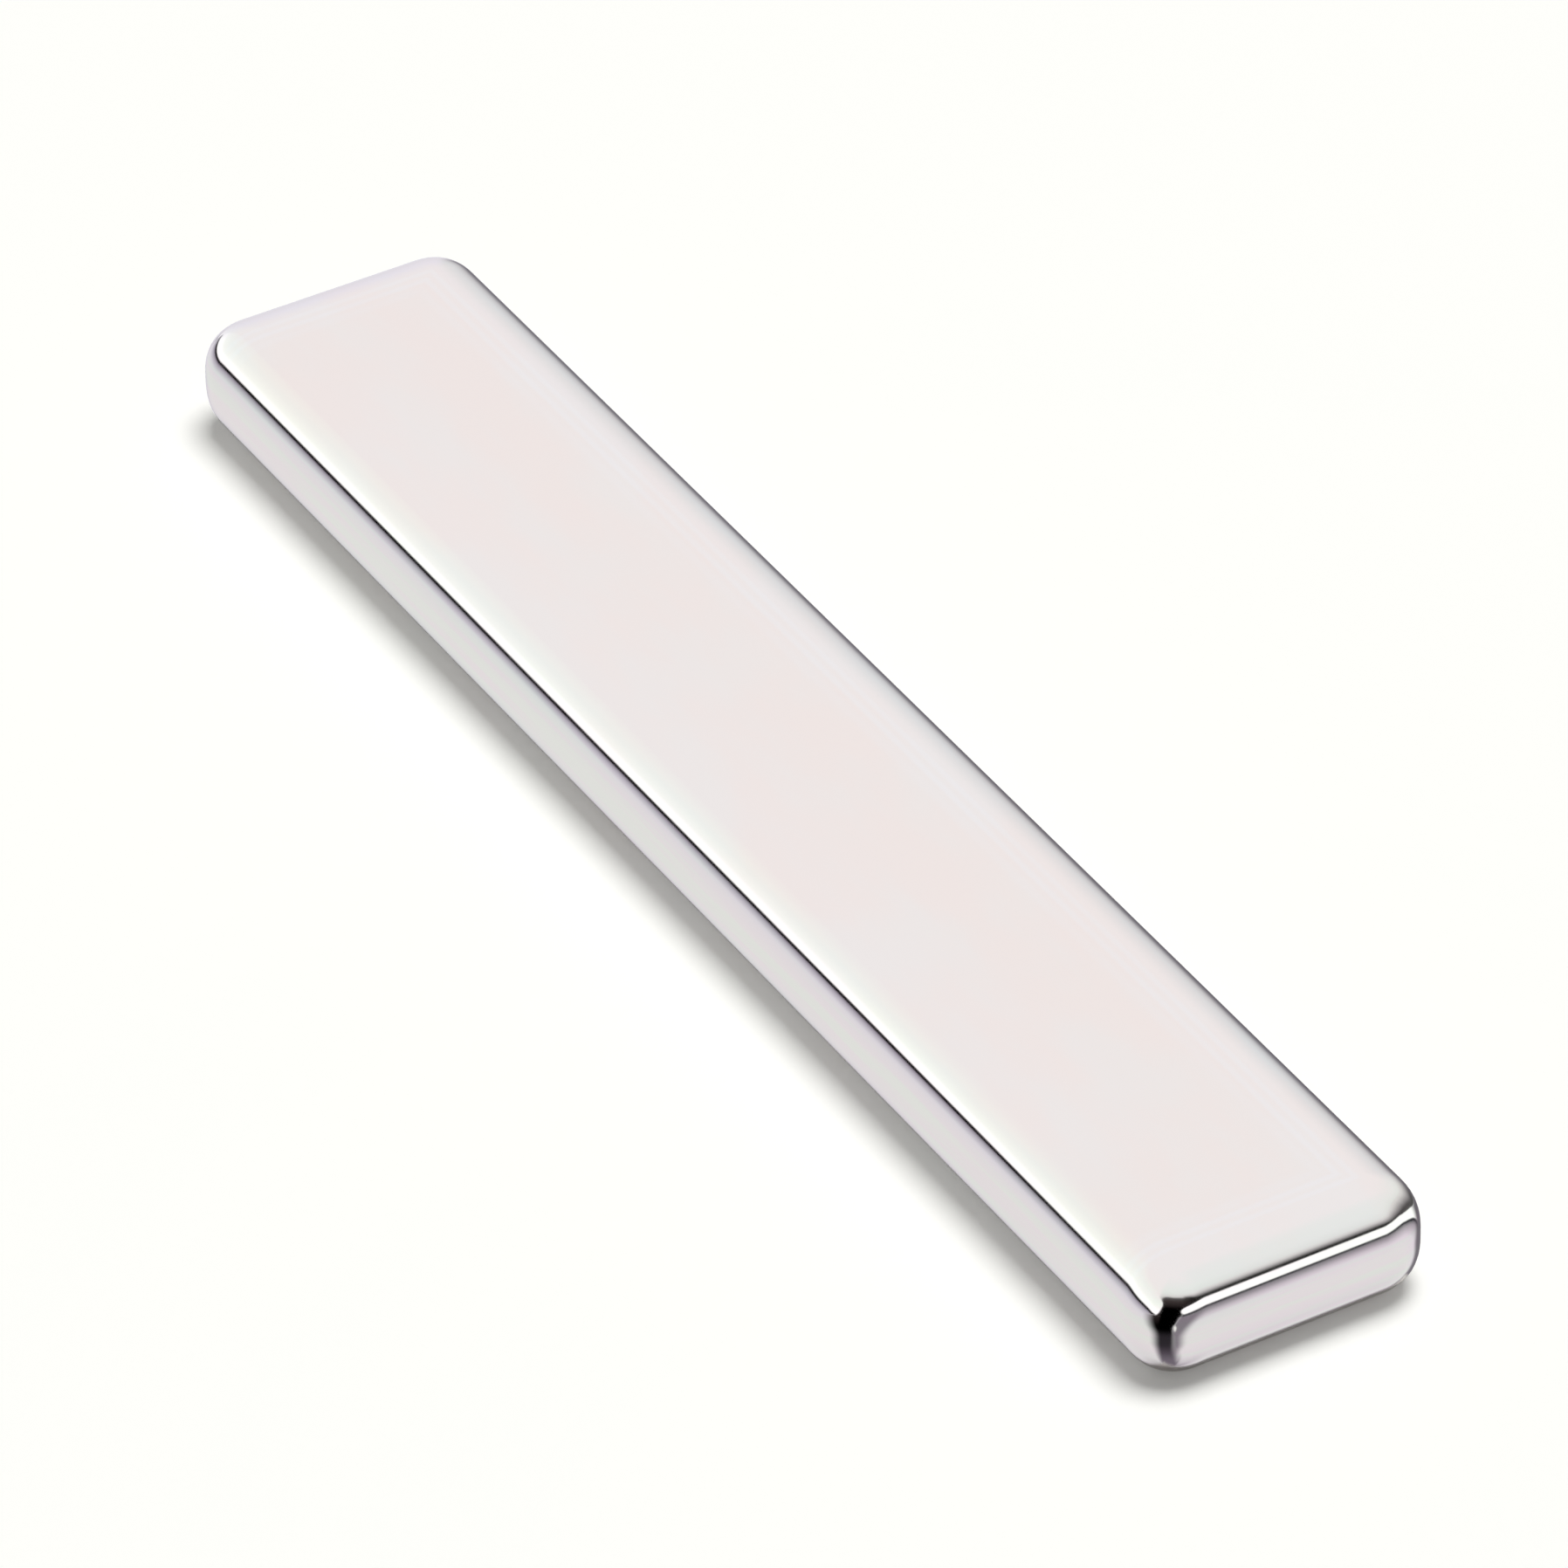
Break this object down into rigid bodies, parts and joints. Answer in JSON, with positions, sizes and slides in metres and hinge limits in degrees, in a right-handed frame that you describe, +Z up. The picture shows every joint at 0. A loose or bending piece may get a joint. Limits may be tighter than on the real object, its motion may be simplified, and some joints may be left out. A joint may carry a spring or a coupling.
{
  "type": "block magnet",
  "caption": "Slim bar-shaped rare-earth magnet with bright nickel plating, flat pole faces and softly rounded edges and corners, magnetised through its thickness.",
  "frame": {"origin": "centre of the lower pole face, where the block rests", "axes": "+X along the length, +Y across the width, +Z up through the thickness, which is the magnetised direction"},
  "size_m": [0.06, 0.01, 0.004],
  "materials": {
    "nickel_plating": "bright tumbled nickel plating, polished, with very fine lengthwise streaks on the sides"
  },
  "bodies": {
    "root": {"block_magnet": "nickel_plating"}
  },
  "joints": []
}
